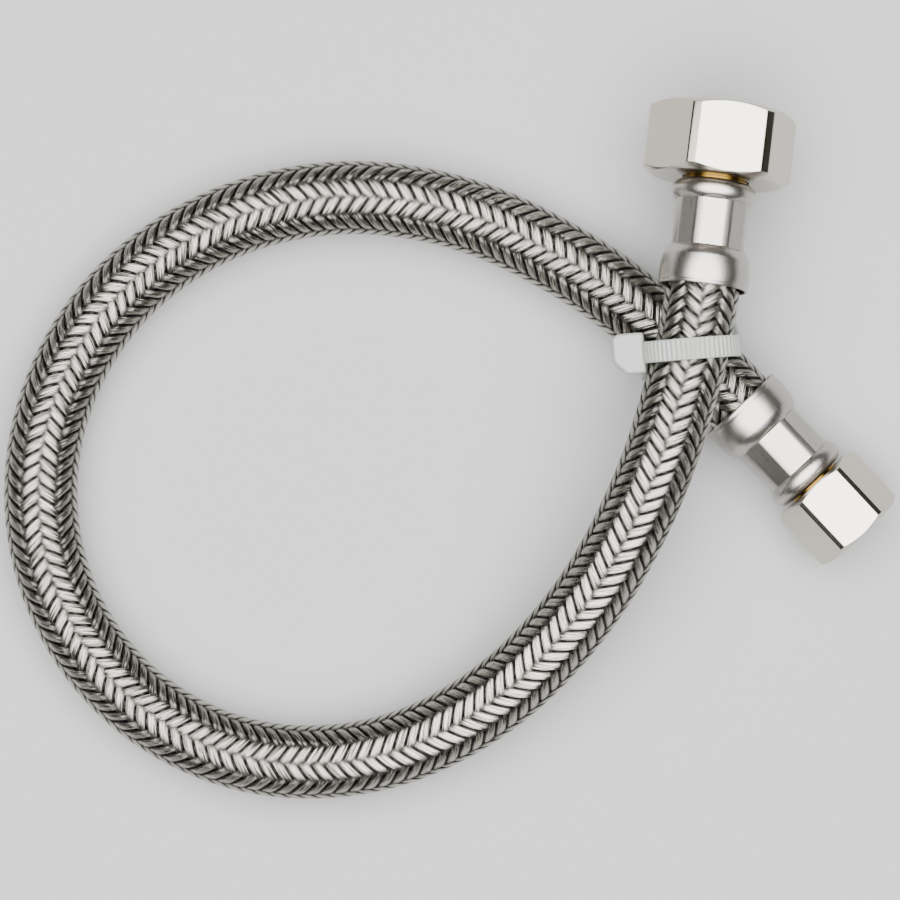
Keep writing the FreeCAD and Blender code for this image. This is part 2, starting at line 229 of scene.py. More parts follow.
class Finishes(bpy.types.PropertyGroup):
    """Colours of each finish."""
    wire: colour("Wire", "Bright drawn stainless wire", "#A8A59D")
    pressed: colour("Pressed steel", "Satin pressed stainless sheet", "#ABA7A2")
    nickel: colour("Nickel", "Bright nickel plate", "#C0BAAE")
    # The brass is darker than bare brass: painted shade for the insert's neck in the narrow gap between
    # the ferrule and the nut.
    brass: colour("Brass", "Turned brass", "#755A26")
    rubber: colour("Rubber", "Black rubber of the liner and the seals", "#1B1A19")
    nylon: colour("Nylon", "Natural nylon of the cable tie", "#8F938E")
    floor: colour("Floor", "Pale studio floor", "#9B9B9B")


class StageSettings(bpy.types.PropertyGroup):
    """The studio."""
    distance: FloatProperty(name="Camera distance", description="Camera above the hose's middle",
                            default=1.2, unit="LENGTH")
    lens: FloatProperty(name="Lens", description="Focal length in millimetres", default=254.4)
    floor_size: FloatProperty(name="Floor size", description="Side of the floor", default=2.8,
                              unit="LENGTH")
    soft_box: FloatProperty(name="Soft box height", description="Light above the floor", default=2.0,
                            unit="LENGTH")
    core_reach: angle("Core reach", "From straight up to the edge of the light's bright core", 38)
    edge_reach: angle("Edge reach", "From straight up to the edge of the light's dimmer border", 49)
    core_power: FloatProperty(name="Core brightness", description="Brightness of the core",
                              default=6.5)
    edge_power: FloatProperty(name="Edge brightness", description="Brightness of the border",
                              default=3.5)


class SupplyLine(bpy.types.PropertyGroup):
    """Everything that can be set on the supply line."""
    hose: PointerProperty(type=HoseSizes)
    large: PointerProperty(type=LargeFitting)
    small: PointerProperty(type=SmallFitting)
    ferrule: PointerProperty(type=FerruleSizes)
    tie: PointerProperty(type=TieSizes)
    finishes: PointerProperty(type=Finishes)
    stage: PointerProperty(type=StageSettings)


def add(tree, kind, inputs=(), **settings):
    """Adds a node. kind is its name, or its name and its operation. inputs gives the sockets, in
    order or by name, a value or another node's output."""
    if isinstance(kind, tuple):
        kind, settings["operation"] = kind
    node = tree.nodes.new(kind)
    for name, value in settings.items():
        setattr(node, name, value)
    for key, value in inputs.items() if isinstance(inputs, dict) else enumerate(inputs):
        if isinstance(value, bpy.types.Node):
            value = next(socket for socket in value.outputs if socket.enabled)
        if isinstance(value, bpy.types.NodeSocket):
            tree.links.new(value, node.inputs[key])
        else:
            node.inputs[key].default_value = value
    return node


def new_object(name, data):
    """An object in the scene that holds the given data."""
    made = bpy.data.objects.new(name, data)
    bpy.context.scene.collection.objects.link(made)
    return made


def evaluated_mesh(thing):
    """A plain mesh of an object as its modifiers leave it."""
    graph = bpy.context.evaluated_depsgraph_get()
    return bpy.data.meshes.new_from_object(thing.evaluated_get(graph))


def finish_mesh(name, mesh, material, body, stands_for):
    """Makes a mesh a finished piece that rides on a body and stands for CAD nodes."""
    mesh.name = name
    piece = new_object(name, mesh)
    mesh.materials.clear()
    mesh.materials.append(material)
    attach(piece, body)
    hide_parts(*stands_for)
    return piece


# --- Materials ---

def new_material(name, **values):
    """A material whose shader's own sockets hold the values that are the same all over."""
    material = bpy.data.materials.new(name)
    material.use_nodes = True
    shader = material.node_tree.nodes["Principled BSDF"]
    for socket, value in values.items():
        shader.inputs[socket.replace("_", " ")].default_value = value
    return material, material.node_tree, shader


def mottled(tree, shader, tint, spread, source, low, high, shade=None):
    """Colour that drifts a little either side of the tint, and roughness from low to high."""
    shades = add(tree, MAP_RANGE, {"Value": source, "To Min": 1 - spread, "To Max": 1 + spread * 0.4})
    # The optional shade factor darkens the colour; the wire brings painted shade in through it.
    if shade:
        shades = add(tree, MULTIPLY, (shades, shade))
    tinted = add(tree, VECTOR, {0: tuple(tint), "Scale": shades}, operation="SCALE")
    tree.links.new(tinted.outputs["Vector"], shader.inputs["Base Color"])
    rough = add(tree, MAP_RANGE, {"Value": source, "To Min": low, "To Max": high})
    tree.links.new(rough.outputs["Result"], shader.inputs["Roughness"])


def bright_drawn_stainless_wire(tint):
    """Drawn wire is mirror-like along its length, with patches left by the drawing soap. Where a plait
    dips or meets its neighbour its colour is darkened by painted shade."""
    material, tree, shader = new_material("bright_drawn_stainless_wire", Metallic=1.0)
    place = add(tree, "ShaderNodeTexCoord").outputs["Object"]
    patches = add(tree, NOISE, {"Vector": place, "Scale": 1 / (2.2 * MM), "Detail": 4.0})
    # The shade attribute is painted shade from the plaits, with each wire's random tone.
    shade = add(tree, ATTRIBUTE, attribute_name="shade").outputs["Fac"]
    mottled(tree, shader, tint, 0.2, patches.outputs["Fac"], 0.16, 0.28, shade)
    return material


def streaked_metal(name, tint, spread, stretch, low, high, bump_height):
    """Metal with fine lines. stretch scales the piece's own x, y and z, so a small number there
    draws the lines out along that direction."""
    material, tree, shader = new_material(name, Metallic=1.0)
    place = add(tree, ATTRIBUTE, attribute_name="fitting_space").outputs["Vector"]
    lined = add(tree, VECTOR, {0: place, 1: stretch}, operation="MULTIPLY")
    lines = add(tree, NOISE, {"Vector": lined, "Scale": 1.0, "Detail": 5.0, "Roughness": 0.6})
    mottled(tree, shader, tint, spread, lines.outputs["Fac"], low, high)
    bump = add(tree, "ShaderNodeBump", {"Height": lines.outputs["Fac"], "Distance": bump_height})
    tree.links.new(bump.outputs["Normal"], shader.inputs["Normal"])
    return material


def satin_pressed_stainless(tint):
    """Deep-drawn sheet: soft draw lines along the ferrule, dulled by pressing."""
    return streaked_metal("satin_pressed_stainless", tint, 0.10,
                          (1 / (0.35 * MM), 1 / (0.35 * MM), 1 / (6.0 * MM)), 0.22, 0.36, 0.010 * MM)


def bright_nickel_plate(tint):
    """Plated over drawn bar: nearly a mirror, with faint lines along the flats."""
    return streaked_metal("bright_nickel_plate", tint, 0.05,
                          (1 / (0.5 * MM), 1 / (0.5 * MM), 1 / (9.0 * MM)), 0.12, 0.20, 0.004 * MM)


def turned_brass(tint):
    """Lathe-turned brass: fine rings round the axis."""
    return streaked_metal("turned_brass", tint, 0.12,
                          (1 / (8.0 * MM), 1 / (8.0 * MM), 1 / (0.12 * MM)), 0.18, 0.32, 0.008 * MM)


def matt_black_rubber(tint):
    """Extruded and moulded rubber: no shine, with a grey bloom in places."""
    material, tree, shader = new_material("matt_black_rubber", Metallic=0.0, IOR=1.52)
    place = add(tree, "ShaderNodeTexCoord").outputs["Object"]
    bloom = add(tree, NOISE, {"Vector": place, "Scale": 1 / (1.5 * MM), "Detail": 6.0})
    mottled(tree, shader, tint, 0.5, bloom.outputs["Fac"], 0.55, 0.80)
    grain = add(tree, NOISE, {"Vector": place, "Scale": 1 / (0.15 * MM), "Detail": 2.0})
    bump = add(tree, "ShaderNodeBump", {"Height": grain.outputs["Fac"], "Distance": 0.02 * MM})
    tree.links.new(bump.outputs["Normal"], shader.inputs["Normal"])
    return material


def natural_nylon(tint):
    """Unfilled nylon 6/6: milky and translucent, with the light going in and coming out nearby."""
    material, tree, shader = new_material(
        "natural_nylon", Metallic=0.0, IOR=1.53, Subsurface_Weight=0.6,
        Subsurface_Radius=(1.0, 1.0, 0.9), Subsurface_Scale=1.6 * MM)
    place = add(tree, "ShaderNodeTexCoord").outputs["Object"]
    cloud = add(tree, NOISE, {"Vector": place, "Scale": 1 / (2.5 * MM), "Detail": 3.0})
    mottled(tree, shader, tint, 0.05, cloud.outputs["Fac"], 0.30, 0.46)
    grain = add(tree, NOISE, {"Vector": place, "Scale": 1 / (0.3 * MM), "Detail": 3.0})
    bump = add(tree, "ShaderNodeBump", {"Height": grain.outputs["Fac"], "Distance": 0.012 * MM})
    tree.links.new(bump.outputs["Normal"], shader.inputs["Normal"])
    return material


# --- The route and the fittings' places ---

def route_points():
    """The route's smooth centreline, as points read from its spline."""
    curve = bpy.data.curves.new("route", "CURVE")
    curve.dimensions = "3D"
    spline = curve.splines.new("NURBS")
    spline.points.add(len(ROUTE) - 1)
    for point, place in zip(spline.points, ROUTE):
        point.co = (*place, 1)
    spline.order_u = 3
    spline.use_endpoint_u = True
    spline.resolution_u = ROUTE_RESOLUTION
    line = new_object("route", curve)
    bpy.context.view_layer.update()
    mesh = evaluated_mesh(line)
    points = [vertex.co.copy() for vertex in mesh.vertices]
    bpy.data.meshes.remove(mesh)
    bpy.data.objects.remove(line)
    return points


def fitting_axes(lip, inside):
    """A fitting's origin at its ferrule's lip, with its own x up, y to the side and z out."""
    out = (Vector(lip) - Vector(inside)).normalized()
    side = out.cross(Vector((0, 0, 1))).normalized()
    return Vector(lip), np.array([side.cross(out), side, out])


def fittings():
    """Each fitting's name, sizes and place."""
    line = bpy.context.scene.supply_line
    return (("large", line.large, fitting_axes(ROUTE[0], ROUTE[1])),
            ("small", line.small, fitting_axes(ROUTE[-1], ROUTE[-2])))


def stations(sizes):
    """Places along a fitting's axis, from the ferrule's lip outwards."""
    end_clearance = 0.1 * MM
    nut_start = bpy.context.scene.supply_line.ferrule.full + sizes.nut_gap
    shoulder = nut_start + sizes.back_wall
    head_start = shoulder + sizes.play_out + end_clearance
    head_end = head_start + sizes.head_length
    seal_start = head_end + sizes.play_in + end_clearance
    seal_end = seal_start + sizes.seal_length
    thread_start = seal_end + sizes.cone_length + end_clearance
    return {
        "nut_start": nut_start, "shoulder": shoulder, "head_start": head_start, "head_end": head_end,
        "seal_start": seal_start, "seal_end": seal_end, "thread_start": thread_start,
        "nut_end": nut_start + sizes.nut_length,
    }


# --- Turned and pressed shapes ---

def rounded(corners, steps=4):
    """Outline through (radius, length, fillet) corners, each rounded by an arc of that fillet."""
    points = []
    count = len(corners)
    for k, (radius, along, fillet) in enumerate(corners):
        corner = np.array([radius, along])
        before = np.array(corners[k - 1][:2]) - corner
        after = np.array(corners[(k + 1) % count][:2]) - corner
        if not fillet:
            points.append(corner)
            continue
        before_length, after_length = np.linalg.norm(before), np.linalg.norm(after)
        before, after = before / before_length, after / after_length
        turn = math.acos(max(-1.0, min(1.0, float(before @ after))))
        reach = min(fillet / math.tan(turn / 2), before_length * 0.45, after_length * 0.45)
        for step in range(steps + 1):
            share = step / steps
            near, far = (1 - share) ** 2, share ** 2
            points.append(corner + before * reach * near + after * reach * far)
    return points


def arc(first, middle, last, steps):
    """Points on the circle through three points, without the last one."""
    (ax, ay), (bx, by), (cx, cy) = first, middle, last
    double = 2 * (ax * (by - cy) + bx * (cy - ay) + cx * (ay - by))
    squares = ax * ax + ay * ay, bx * bx + by * by, cx * cx + cy * cy
    ux = (squares[0] * (by - cy) + squares[1] * (cy - ay) + squares[2] * (ay - by)) / double
    uy = (squares[0] * (cx - bx) + squares[1] * (ax - cx) + squares[2] * (bx - ax)) / double
    start = math.atan2(ay - uy, ax - ux)
    sweep = (math.atan2(cy - uy, cx - ux) - start + math.pi) % (2 * math.pi) - math.pi
    radius = math.hypot(ax - ux, ay - uy)
    return [(ux + radius * math.cos(start + sweep * k / steps),
             uy + radius * math.sin(start + sweep * k / steps)) for k in range(steps)]


def ring_mesh(name, angles, outline_at, place):
    """Closed ring about a fitting's axis. outline_at gives the outline's points at each angle."""
    origin, axes = place
    verts, local = [], []
    for turn in angles:
        outline = np.array(outline_at(turn))
        flat = np.column_stack([outline[:, 0] * math.cos(turn), outline[:, 0] * math.sin(turn),
                                outline[:, 1]])
        local.append(flat)
        verts.append(flat @ axes + np.array(origin))
    count, around = len(verts[0]), len(verts)
    faces = []
    for i in range(around):
        for j in range(count):
            ahead, beside = (i + 1) % around, (j + 1) % count
            faces.append((i * count + j, ahead * count + j, ahead * count + beside, i * count + beside))
    mesh = bpy.data.meshes.new(name)
    mesh.from_pydata(np.concatenate(verts).tolist(), [], faces)
    mesh.attributes.new("fitting_space", "FLOAT_VECTOR", "POINT")
    mesh.attributes["fitting_space"].data.foreach_set("vector", np.concatenate(local).ravel())
    mesh.update()
    return outward(mesh)


def outward(mesh):
    """Turns a closed mesh's faces outwards if they point in, and smooths it."""
    mesh.calc_loop_triangles()
    corners = np.array([[mesh.vertices[v].co for v in tri.vertices] for tri in mesh.loop_triangles])
    volume = np.einsum("ij,ij->i", corners[:, 0], np.cross(corners[:, 1], corners[:, 2])).sum()
    if volume < 0:
        mesh.flip_normals()
    mesh.shade_smooth()
    mesh.set_sharp_from_angle(angle=SHARP_EDGE)
    return mesh


def even_angles(count):
    return [2 * math.pi * k / count for k in range(count)]


def corner_flat_radius(sizes):
    """From the nut's axis to its narrow corner flats."""
    corner_r = sizes.across_flats / 2 / math.cos(math.pi / 6)
    return corner_r - sizes.corner_flat / (2 * math.tan(math.pi / 3))


def hexagon_radius(turn, sizes):
    """Radius of the nut's side at an angle: six flats and six narrow corner flats."""
    sharpness = 260
    flat_r = sizes.across_flats / 2
    flattened_r = corner_flat_radius(sizes)
    total = 0.0
    for k in range(12):
        reach = flattened_r if k % 2 else flat_r
        facing = math.cos(turn - sizes.flat_angle - k * math.pi / 6)
        total += max(facing * flat_r / reach, 0.0) ** sharpness
    return flat_r / total ** (1 / sharpness)


def nut_angles(sizes):
    """Angles round the nut, closer together at each edge."""
    proud = corner_flat_radius(sizes) / (sizes.across_flats / 2) - math.cos(math.pi / 6)
    edge = math.atan(proud / math.sin(math.pi / 6))
    beside_edge = (-2.0, -1.2, -0.7, -0.35, 0, 0.35, 0.7, 1.2, 2.0)
    least_step = 0.0008
    angles = set(even_angles(ROUND_STEPS))
    for k in range(6):
        for side in (-edge, edge):
            middle = k * math.pi / 3 + sizes.flat_angle + side
            angles.update((middle + math.radians(offset)) % (2 * math.pi) for offset in beside_edge)
    ordered = sorted(angles)
    return [a for a, b in zip(ordered, ordered[1:] + [ordered[0] + 2 * math.pi]) if b - a > least_step]


def thread_radius(turn, along, sizes, at):
    """Radius inside the nut: a right-hand thread that runs out in the mouth's chamfer."""
    wave = ((along - at["thread_start"]) / sizes.thread_pitch - turn / (2 * math.pi)) % 1.0
    groove = min(max((abs(2 * wave - 1) - 0.12) / 0.76, 0.0), 1.0)
    radius = sizes.minor_r + sizes.thread_depth * groove
    return max(radius, sizes.minor_r + MOUTH_CHAMFER - (at["nut_end"] - along))


def nut_outline(turn, sizes, at):
    """Outline of the nut at an angle: thread, end face, chamfer, side, chamfer, back and bore."""
    chamfer, inset, edge = math.tan(math.radians(30)), 0.3 * MM, 0.12 * MM
    side_r = hexagon_radius(turn, sizes)
    face_r = sizes.across_flats / 2 - inset
    slope = (side_r - face_r) * chamfer
    start, end = at["nut_start"], at["nut_end"]
    relief_r = sizes.minor_r + sizes.thread_depth
    bore_r = sizes.neck_r + 0.25 * MM
    turns = (end - at["thread_start"]) / sizes.thread_pitch
    steps = int(turns * THREAD_STEPS_PER_TURN)
    points = [(relief_r, at["thread_start"])]
    for k in range(1, steps):
        along = at["thread_start"] + (end - at["thread_start"]) * k / steps
        points.append((thread_radius(turn, along, sizes, at), along))
    solid = rounded([
        (sizes.minor_r + MOUTH_CHAMFER, end, edge), (face_r, end, edge), (side_r, end - slope, edge),
        (side_r, start + slope, edge), (face_r, start, edge), (bore_r, start, edge * 2),
        (bore_r, at["shoulder"], 0), (relief_r, at["shoulder"], 0),
    ])
    return points + [tuple(p) for p in solid]


def ferrule_outline(turn, sizes, shared):
    """Outline of the pressed shell at an angle, with its flats pressed in."""
    wall = shared.wall
    lip, bell = (shared.lip_r, 0.0), (shared.lip_r, shared.bell_end)
    crimped = (shared.ridge_r, shared.crimp_start)
    bulge = 0.1 * MM
    shoulder = ((bell[0] + crimped[0]) / 2 + bulge, (bell[1] + crimped[1]) / 2 + bulge)
    rolled = (shared.collar_r - 1.3 * MM, shared.full)
    outside = arc(lip, (shared.bell_r, shared.bell_end / 2), bell, 44)
    outside += arc(bell, shoulder, crimped, 10)
    outside += [(shared.ridge_r, shared.crimp_start + (shared.crimp_end - shared.crimp_start) * k / 20)
                for k in range(20)]
    outside += arc((shared.ridge_r, shared.crimp_end), (shared.collar_r, shared.collar_crest), rolled,
                   18)
    pressed = []
    bead, blend = 0.08 * MM, 0.03 * MM
    for radius, along in outside:
        radius += bead * math.exp(-((along - 0.25 * MM) / (0.2 * MM)) ** 2)
        radius -= bead * 0.6 * math.exp(-((along - 0.8 * MM) / (0.25 * MM)) ** 2)
        before, after = shared.crimp_start - along, along - shared.crimp_end
        slope = max(before, after, 0.0) / shared.flare * shared.taper
        nearest = (turn - sizes.crimp_turn) % (2 * math.pi / shared.flats)
        off = min(nearest, 2 * math.pi / shared.flats - nearest)
        die_r = (shared.flat_r + slope) / math.cos(off)
        gap = (die_r - radius) / blend
        pressed.append((radius - blend * math.log1p(math.exp(-gap)) if gap > -30 else die_r, along))
    rim_r = sizes.neck_r - 0.45 * MM
    inner = [(rolled[0] - 0.1 * MM, shared.full), (rim_r, shared.full), (rim_r, shared.full - wall)]
    inside = [(shared.collar_r - 3 * wall, shared.full - wall),
              (shared.collar_r - wall, shared.full - 3 * wall),
              (shared.collar_r - wall, shared.crimp_end + 1.1 * MM),
              (shared.flat_r - wall, shared.crimp_end),
              (shared.flat_r - wall, shared.crimp_start), (shared.bell_r - wall, shared.bell_end),
              (shared.bell_r - wall, shared.bell_end / 2), (shared.lip_r - wall * 0.8, wall * 0.35),
              (shared.lip_r - wall * 0.5, -wall * 0.12), (shared.lip_r - wall * 0.12, wall * 0.02)]
    return pressed + inner + inside


# --- Operators ---

class SUPPLYLINE_OT_stage(bpy.types.Operator):
    """Makes the camera, the pale floor and the soft light"""
    bl_idname = "supplyline.stage"
    bl_label = "Stage"

    def execute(self, context):
        line = context.scene.supply_line
        settings = line.stage
        low, high = CAD_BOX
        camera = new_object("camera", bpy.data.cameras.new("camera"))
        camera.data.lens = settings.lens
        camera.data.clip_end = 2 * settings.floor_size
        middle = (low + high) / 2
        camera.location = (middle.x + 0.15 * MM, middle.y + 0.17 * MM,
                           settings.distance + line.hose.outside / 2)
        context.scene.camera = camera

        half = settings.floor_size / 2
        mesh = bpy.data.meshes.new("floor")
        corners = [(-half, -half), (half, -half), (half, half), (-half, half)]
        mesh.from_pydata([(x, y, low.z) for x, y in corners], [], [(0, 1, 2, 3)])
        material, tree, shader = new_material("pale_studio_paper", Roughness=0.9)
        place = add(tree, "ShaderNodeTexCoord").outputs["Object"]
        fibre = add(tree, NOISE, {"Vector": place, "Scale": 1 / (60 * MM), "Detail": 2.0})
        tone = add(tree, MAP_RANGE, {"Value": fibre.outputs["Fac"], "To Min": 0.995, "To Max": 1.0})
        tint = add(tree, VECTOR, {0: tuple(line.finishes.floor), "Scale": tone}, operation="SCALE")
        tree.links.new(tint.outputs["Vector"], shader.inputs["Base Color"])
        mesh.materials.append(material)
        floor = new_object("floor", mesh)

        for name, reach, power, height in (
                ("soft_box_core", settings.core_reach, settings.core_power, settings.soft_box),
                ("soft_box_border", settings.edge_reach, settings.edge_power, settings.soft_box * 1.05)):
            lamp = bpy.data.lights.new(name, "AREA")
            lamp.shape = "DISK"
            lamp.size = 2 * height * math.tan(reach)
            lamp.energy = power * math.pi * math.pi * (lamp.size / 2) ** 2
            new_object(name, lamp).location = (0, 0, height)

        # The room is pale up to the horizon and dark from a little way above it.
        world = bpy.data.worlds.new("studio")
        world.use_nodes = True
        tree = world.node_tree
        sky = add(tree, "ShaderNodeTexCoord").outputs["Generated"]
        height = add(tree, "ShaderNodeSeparateXYZ", {0: sky})
        ramp = add(tree, "ShaderNodeValToRGB", {0: height.outputs["Z"]})
        for element, position, light in zip(ramp.color_ramp.elements, (0.03, 0.13),
                                            ((0.58, 0.58, 0.58, 1), (0.04, 0.037, 0.033, 1))):
            element.position, element.color = position, light
        tree.links.new(ramp.outputs["Color"], tree.nodes["Background"].inputs["Color"])
        context.scene.world = world
        return {"FINISHED"}


def new_tree(name, inputs):
    """A geometry tree with the named inputs, each of the socket kind given with it."""
    tree = bpy.data.node_groups.new(name, "GeometryNodeTree")
    tree.interface.new_socket("Geometry", in_out="OUTPUT", socket_type="NodeSocketGeometry")
    for label, kind in (("Geometry", "Geometry"), *inputs):
        tree.interface.new_socket(label, in_out="INPUT", socket_type="NodeSocket" + kind)
    return tree, add(tree, "NodeGroupInput").outputs


def end_tree(tree, geometry, material):
    """Makes what the tree has grown real, sets its material and hands it out."""
    real = add(tree, "GeometryNodeRealizeInstances", {"Geometry": geometry})
    finished = add(tree, "GeometryNodeSetMaterial", {"Geometry": real, "Material": material})
    add(tree, "NodeGroupOutput", {"Geometry": finished})
    return tree


def grow(tree, points, values, attribute=None):
    """The plain mesh that a tree grows along a line of points, with its named inputs set."""
    mesh = bpy.data.meshes.new("host")
    mesh.from_pydata([tuple(p) for p in points], [(k, k + 1) for k in range(len(points) - 1)], [])
    if attribute:
        label, vectors = attribute
        mesh.attributes.new(label, "FLOAT_VECTOR", "POINT")
        mesh.attributes[label].data.foreach_set("vector", np.array(vectors, dtype=float).ravel())
    host = new_object("host", mesh)
    modifier = host.modifiers.new("grow", "NODES")
    modifier.node_group = tree
    for item in tree.interface.items_tree:
        if item.in_out == "INPUT" and item.name in values:
            modifier[item.identifier] = values[item.name]
    grown = evaluated_mesh(host)
    host.modifiers.clear()
    bpy.data.objects.remove(host)
    bpy.data.meshes.remove(mesh)
    if not grown.polygons:
        raise RuntimeError(tree.name + " grew nothing")
    return grown


def plait_tree(material):
    """Plaits of fine wires that wind both ways round a centreline, two over and two under."""
    tree, given = new_tree("woven_plaits", (
        ("First plait", "Int"), ("Plaits", "Int"), ("Plaits each way", "Int"), ("Wires", "Int"),
        ("Rings", "Int"), ("Wire diameter", "Float"), ("Radius", "Float"), ("Lead", "Float"),
        ("Lift", "Float"), ("Crown", "Float"), ("Unevenness", "Float"), ("Phase", "Float")))
    steepness, roundness, wire_spacing = 2.4, 1.7, 17.3

    # The centreline, with a frame that stays level.
    line = add(tree, "GeometryNodeMeshToCurve", {"Mesh": given["Geometry"]})
    line = add(tree, "GeometryNodeSetCurveNormal", {"Curve": line}, mode="Z_UP")
    whole = add(tree, "GeometryNodeCurveLength", {"Curve": line})

    # One closed tube for each plait. Each corner of its rings becomes a point of the plait's section.
    tops = add(tree, MULTIPLY, (given["Wires"], 3.0))
    corners = add(tree, ADD, (tops, 3.0))
    tube = add(tree, "GeometryNodeMeshCylinder",
               {"Vertices": corners, "Side Segments": given["Rings"], "Radius": 1.0, "Depth": 1.0})
    spots = add(tree, "GeometryNodeMeshLine", {"Count": given["Plaits"], "Offset": (0, 0, 0)})
    tubes = add(tree, "GeometryNodeInstanceOnPoints",
                {"Points": spots, "Instance": tube.outputs["Mesh"]})
    index = add(tree, "GeometryNodeInputIndex")
    number = add(tree, ADD, (index, given["First plait"]))
    tubes = add(tree, "GeometryNodeStoreNamedAttribute",
                {"Geometry": tubes, "Name": "plait", "Value": number}, domain="INSTANCE",
                data_type="FLOAT")
    tubes = add(tree, "GeometryNodeRealizeInstances", {"Geometry": tubes})
    number = add(tree, "GeometryNodeInputNamedAttribute", {"Name": "plait"}, data_type="FLOAT")
    corner = add(tree, MODULO, (index, corners))
    spread = add(tree, "ShaderNodeSeparateXYZ", {0: add(tree, "GeometryNodeInputPosition")})
    ring = add(tree, ADD, (spread.outputs["Z"], 0.5))

    # Way round: 1 for the first plaits and -1 for the others.
    first = add(tree, LESS_THAN, (number, given["Plaits each way"]))
    way = add(tree, MULTIPLY_ADD, (first, 2.0, -1.0))

    # The section: a row of round wires on top, and a flat underside of two corners.
    past_top = add(tree, SUBTRACT, (corner, tops))
    on_top = add(tree, LESS_THAN, (past_top, 0.5))
    share = add(tree, DIVIDE, (corner, tops))
    share = add(tree, SUBTRACT, (share, 0.5))
    under = add(tree, SUBTRACT, (1.5, past_top))
    step = add(tree, SUBTRACT, (share, under))
    share = add(tree, MULTIPLY_ADD, (step, on_top, under))
    width = add(tree, MULTIPLY, (given["Wires"], given["Wire diameter"]))
    across = add(tree, MULTIPLY, (share, width))
    half_wire = add(tree, MULTIPLY, (given["Wire diameter"], 0.5))
    height = corner
    for step, *values in ((MULTIPLY, math.pi / 3), (SINE,), (ABSOLUTE,), (MULTIPLY_ADD, 0.5, 1.5),
                          (MULTIPLY_ADD, on_top, -1.0), (MULTIPLY, half_wire)):
        height = add(tree, step, (height, *values))
    fall = share
    for step, value in ((MULTIPLY, share), (MULTIPLY, 4.0), (POWER, roundness),
                        (MULTIPLY, given["Crown"])):
        fall = add(tree, step, (fall, value))
    height = add(tree, SUBTRACT, (height, fall))

    # Where the section stands: along the hose and round it.
    along = add(tree, MULTIPLY, (ring, whole))
    girth = add(tree, MULTIPLY, (given["Radius"], 2 * math.pi))
    squares = add(tree, MULTIPLY, (girth, girth))
    squares = add(tree, MULTIPLY_ADD, (given["Lead"], given["Lead"], squares))
    slant = add(tree, SQRT, (squares,))
    sine = add(tree, DIVIDE, (girth, slant))
    cosine = add(tree, DIVIDE, (given["Lead"], slant))
    winding = add(tree, DIVIDE, (along, given["Lead"]))
    start = add(tree, DIVIDE, (number, given["Plaits each way"]))
    turns = add(tree, MULTIPLY_ADD, (winding, way, start))
    back = add(tree, MULTIPLY, (across, sine))
    back = add(tree, MULTIPLY, (back, way))
    place = add(tree, SUBTRACT, (along, back))
    aside = add(tree, MULTIPLY, (across, cosine))
    aside = add(tree, DIVIDE, (aside, given["Radius"]))
    turn = add(tree, MULTIPLY_ADD, (turns, 2 * math.pi, aside))

    # Two over and two under: a plait is up along half the hose's rows, and the other way's is down.
    weave = turn
    for step, *values in ((MULTIPLY, given["Plaits each way"]), (MULTIPLY_ADD, 0.5, -math.pi / 4),
                          (COSINE,), (MULTIPLY, steepness), (TANH,),
                          (MULTIPLY, 1 / math.tanh(steepness)), (MULTIPLY, way)):
        weave = add(tree, step, (weave, *values))
    height = add(tree, MULTIPLY_ADD, (weave, given["Lift"], height))

    # Painted shade: the colour is darkened where a plait dips and at its edges, where shade falls
    # between the plaits.
    edge = add(tree, ABSOLUTE, (share,))
    edge = add(tree, MAP_RANGE, {"Value": edge, "From Min": 0.27, "From Max": 0.45, "To Min": 1.0,
                                 "To Max": 0.12}, interpolation_type="SMOOTHSTEP")
    dip = add(tree, MAP_RANGE, {"Value": weave, "From Min": -0.1, "From Max": 0.9, "To Min": 0.1,
                                "To Max": 1.0}, interpolation_type="SMOOTHSTEP")
    shade = add(tree, MULTIPLY, (edge, dip))

    # Each wire stands a little out of line.
    wire = add(tree, DIVIDE, (corner, 3.0))
    wire = add(tree, MULTIPLY_ADD, (number, wire_spacing, wire))
    stretch = add(tree, MULTIPLY, (along, 1 / (5.0 * MM)))
    spot = add(tree, "ShaderNodeCombineXYZ", {"X": wire, "Y": stretch})
    uneven = add(tree, NOISE, {"Vector": spot, "Scale": 1.0, "Detail": 1.0})
    uneven = add(tree, SUBTRACT, (uneven.outputs[0], 0.5))
    bright = add(tree, MULTIPLY_ADD, (uneven, 0.8, 1.0))
    shade = add(tree, MULTIPLY, (shade, bright))
    # The shade attribute holds that painted shade, times each wire's random tone.
    tubes = add(tree, "GeometryNodeStoreNamedAttribute",
                {"Geometry": tubes, "Name": "shade", "Value": shade}, domain="POINT", data_type="FLOAT")
    height = add(tree, MULTIPLY_ADD, (uneven, given["Unevenness"], height))
    reach = add(tree, ADD, (height, given["Radius"]))

    # Onto the hose: right is level, and up is square to it and to the hose.
    turned = add(tree, ADD, (turn, given["Phase"]))
    sample = add(tree, "GeometryNodeSampleCurve", {"Curves": line, "Length": place}, mode="LENGTH")
    up = add(tree, VECTOR, {0: sample.outputs["Normal"], 1: sample.outputs["Tangent"]},
             operation="CROSS_PRODUCT")
    parts = []
    for step, direction in ((COSINE, up), (SINE, sample.outputs["Normal"])):
        size = add(tree, step, (turned,))
        size = add(tree, MULTIPLY, (size, reach))
        parts.append(add(tree, VECTOR, {0: direction, "Scale": size}, operation="SCALE"))
    where = add(tree, VECTOR, {0: parts[0], 1: parts[1]}, operation="ADD")
    where = add(tree, VECTOR, {0: where, 1: sample.outputs["Position"]}, operation="ADD")
    tubes = add(tree, "GeometryNodeSetPosition", {"Geometry": tubes, "Position": where})
    return end_tree(tree, tubes, material)


